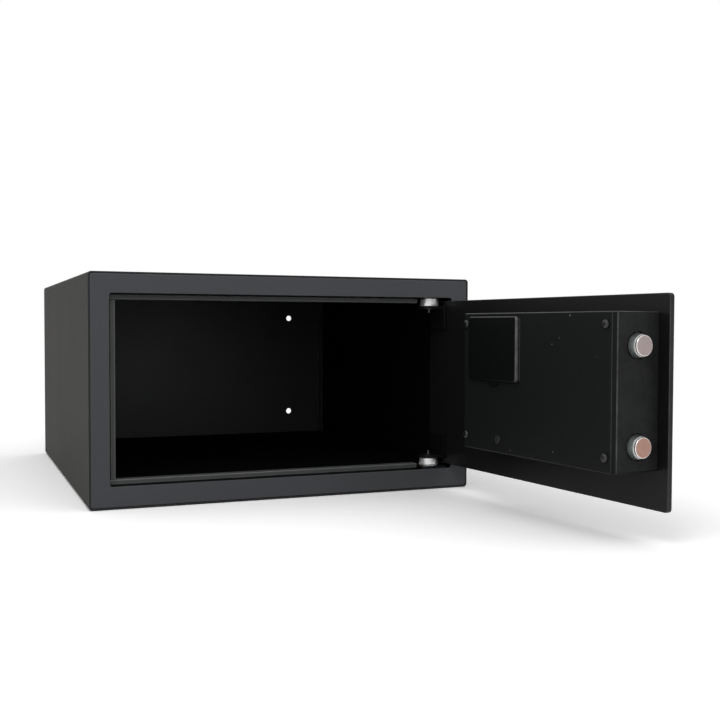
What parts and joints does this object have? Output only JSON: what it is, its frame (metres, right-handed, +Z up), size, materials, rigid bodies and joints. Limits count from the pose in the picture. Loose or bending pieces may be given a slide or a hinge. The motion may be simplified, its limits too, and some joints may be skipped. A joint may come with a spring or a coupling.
{
  "type": "front-opening steel safe",
  "caption": "Black steel box safe with a flush front door on concealed pins, a folded lock cover inside it, round locking bolts and a keypad lock.",
  "frame": {"origin": "centre of the base of the case", "axes": "+X to the right along the front, +Y from the front to the back, +Z up; the door stands open at 95.5 degrees"},
  "size_m": [0.371, 0.6954, 0.2],
  "materials": {
    "case_paint": "fine-textured satin black powder coat",
    "frame_paint": "fine-textured satin black powder coat",
    "stop_paint": "satin black powder coat",
    "inner_paint": "matt black powder coat",
    "door_paint": "satin black powder coat",
    "cover_paint": "smooth satin black powder coat",
    "arm_paint": "satin black paint",
    "chrome": "bright plating",
    "bolt_steel": "turned and polished steel",
    "zinc_plate": "bright zinc plate",
    "motor_metal": "bare pressed steel",
    "screw_black": "black oxide, slightly glossy",
    "mat_felt": "short black felt",
    "lid_plastic": "fine-grained black moulding",
    "tray_plastic": "black moulding",
    "bezel_plastic": "semi-gloss black moulding",
    "key_plastic": "dark grey moulding",
    "button_plastic": "dark moulding",
    "board_green": "solder-masked board",
    "cell_wrap": "plain printed sleeve",
    "display_glass": "smoked window",
    "lock_metal": "turned zinc alloy"
  },
  "bodies": {
    "case": {"shell": "case_paint", "front_frame": "frame_paint", "back_panel": "inner_paint", "stop_top": "stop_paint", "stop_bottom": "stop_paint", "strike_jamb": "stop_paint", "floor_pan": "inner_paint", "floor_mat": "mat_felt", "hinge_bracket_bottom": "arm_paint", "hinge_bracket_top": "arm_paint", "hinge_pin_bottom": "chrome", "hinge_pin_top": "chrome", "hinge_bush_bottom": "chrome", "hinge_bush_top": "chrome"},
    "door": {"door_plate": "door_paint", "hinge_arm_bottom": "arm_paint", "hinge_arm_top": "arm_paint", "lock_cover": "cover_paint", "cover_screw_1": "screw_black", "cover_screw_2": "screw_black", "cover_screw_3": "screw_black", "cover_screw_4": "screw_black", "battery_tray": "tray_plastic", "cell_1": "cell_wrap", "cell_2": "cell_wrap", "cell_3": "cell_wrap", "cell_4": "cell_wrap", "circuit_board": "board_green", "bolt_guide": "zinc_plate", "gear_motor": "motor_metal", "keypad_bezel": "bezel_plastic", "keypad_board": "board_green", "display_window": "display_glass", "key_lock_body": "lock_metal"},
    "battery_lid": {"battery_lid": "lid_plastic"},
    "bolts": {"bolt_upper": "bolt_steel", "bolt_lower": "bolt_steel", "bolt_carriage": "zinc_plate"},
    "crank": {"crank": "zinc_plate"},
    "reset_button": {"reset_button": "button_plastic"},
    "key_rotor": {"key_rotor": "lock_metal"},
    "key_cap": {"key_cap": "bezel_plastic"},
    "key_1": {"key_1": "key_plastic"},
    "key_2": {"key_2": "key_plastic"},
    "key_3": {"key_3": "key_plastic"},
    "key_4": {"key_4": "key_plastic"},
    "key_5": {"key_5": "key_plastic"},
    "key_6": {"key_6": "key_plastic"},
    "key_7": {"key_7": "key_plastic"},
    "key_8": {"key_8": "key_plastic"},
    "key_9": {"key_9": "key_plastic"},
    "key_clear": {"key_clear": "key_plastic"},
    "key_0": {"key_0": "key_plastic"},
    "key_enter": {"key_enter": "key_plastic"}
  },
  "joints": [
    {"name": "door_hinge", "type": "hinge", "parent": "case", "child": "door", "pos_m": [0.1438, -0.1902, 0.1], "axis": [0, 0, 1], "range_deg": [-95.5, 0.5]},
    {"name": "bolt_slide", "type": "slide", "parent": "door", "child": "bolts", "axis": [0.0958, -0.9954, 0], "range_m": [0, 0.018]},
    {"name": "crank_turn", "type": "hinge", "parent": "door", "child": "crank", "pos_m": [0.1569, -0.42432, 0.097], "axis": [0.9954, 0.0958, 0], "range_deg": [0, 90]},
    {"name": "battery_lid_tilt", "type": "hinge", "parent": "door", "child": "battery_lid", "pos_m": [0.1272, -0.34229, 0.1632], "axis": [-0.0958, 0.9954, 0], "range_deg": [0, 60]},
    {"name": "reset_press", "type": "slide", "parent": "door", "child": "reset_button", "axis": [0.9954, 0.0958, 0], "range_m": [0, 0.0015], "stiffness_N_per_m": 250},
    {"name": "key_turn", "type": "hinge", "parent": "door", "child": "key_rotor", "pos_m": [0.17291, -0.38189, 0.0792], "axis": [0.9954, 0.0958, 0], "range_deg": [0, 90]},
    {"name": "key_cap_swing", "type": "hinge", "parent": "door", "child": "key_cap", "pos_m": [0.18933, -0.38031, 0.0916], "axis": [-0.9954, -0.0958, 0], "range_deg": [0, 100]},
    {"name": "key_1_press", "type": "slide", "parent": "door", "child": "key_1", "axis": [-0.9954, -0.0958, 0], "range_m": [0, 0.0012], "stiffness_N_per_m": 250},
    {"name": "key_2_press", "type": "slide", "parent": "door", "child": "key_2", "axis": [-0.9954, -0.0958, 0], "range_m": [0, 0.0012], "stiffness_N_per_m": 250},
    {"name": "key_3_press", "type": "slide", "parent": "door", "child": "key_3", "axis": [-0.9954, -0.0958, 0], "range_m": [0, 0.0012], "stiffness_N_per_m": 250},
    {"name": "key_4_press", "type": "slide", "parent": "door", "child": "key_4", "axis": [-0.9954, -0.0958, 0], "range_m": [0, 0.0012], "stiffness_N_per_m": 250},
    {"name": "key_5_press", "type": "slide", "parent": "door", "child": "key_5", "axis": [-0.9954, -0.0958, 0], "range_m": [0, 0.0012], "stiffness_N_per_m": 250},
    {"name": "key_6_press", "type": "slide", "parent": "door", "child": "key_6", "axis": [-0.9954, -0.0958, 0], "range_m": [0, 0.0012], "stiffness_N_per_m": 250},
    {"name": "key_7_press", "type": "slide", "parent": "door", "child": "key_7", "axis": [-0.9954, -0.0958, 0], "range_m": [0, 0.0012], "stiffness_N_per_m": 250},
    {"name": "key_8_press", "type": "slide", "parent": "door", "child": "key_8", "axis": [-0.9954, -0.0958, 0], "range_m": [0, 0.0012], "stiffness_N_per_m": 250},
    {"name": "key_9_press", "type": "slide", "parent": "door", "child": "key_9", "axis": [-0.9954, -0.0958, 0], "range_m": [0, 0.0012], "stiffness_N_per_m": 250},
    {"name": "key_clear_press", "type": "slide", "parent": "door", "child": "key_clear", "axis": [-0.9954, -0.0958, 0], "range_m": [0, 0.0012], "stiffness_N_per_m": 250},
    {"name": "key_0_press", "type": "slide", "parent": "door", "child": "key_0", "axis": [-0.9954, -0.0958, 0], "range_m": [0, 0.0012], "stiffness_N_per_m": 250},
    {"name": "key_enter_press", "type": "slide", "parent": "door", "child": "key_enter", "axis": [-0.9954, -0.0958, 0], "range_m": [0, 0.0012], "stiffness_N_per_m": 250}
  ],
  "couplings": [
    {"joint": "crank_turn", "follows": "bolt_slide", "rad_per_m": 87.266}
  ]
}
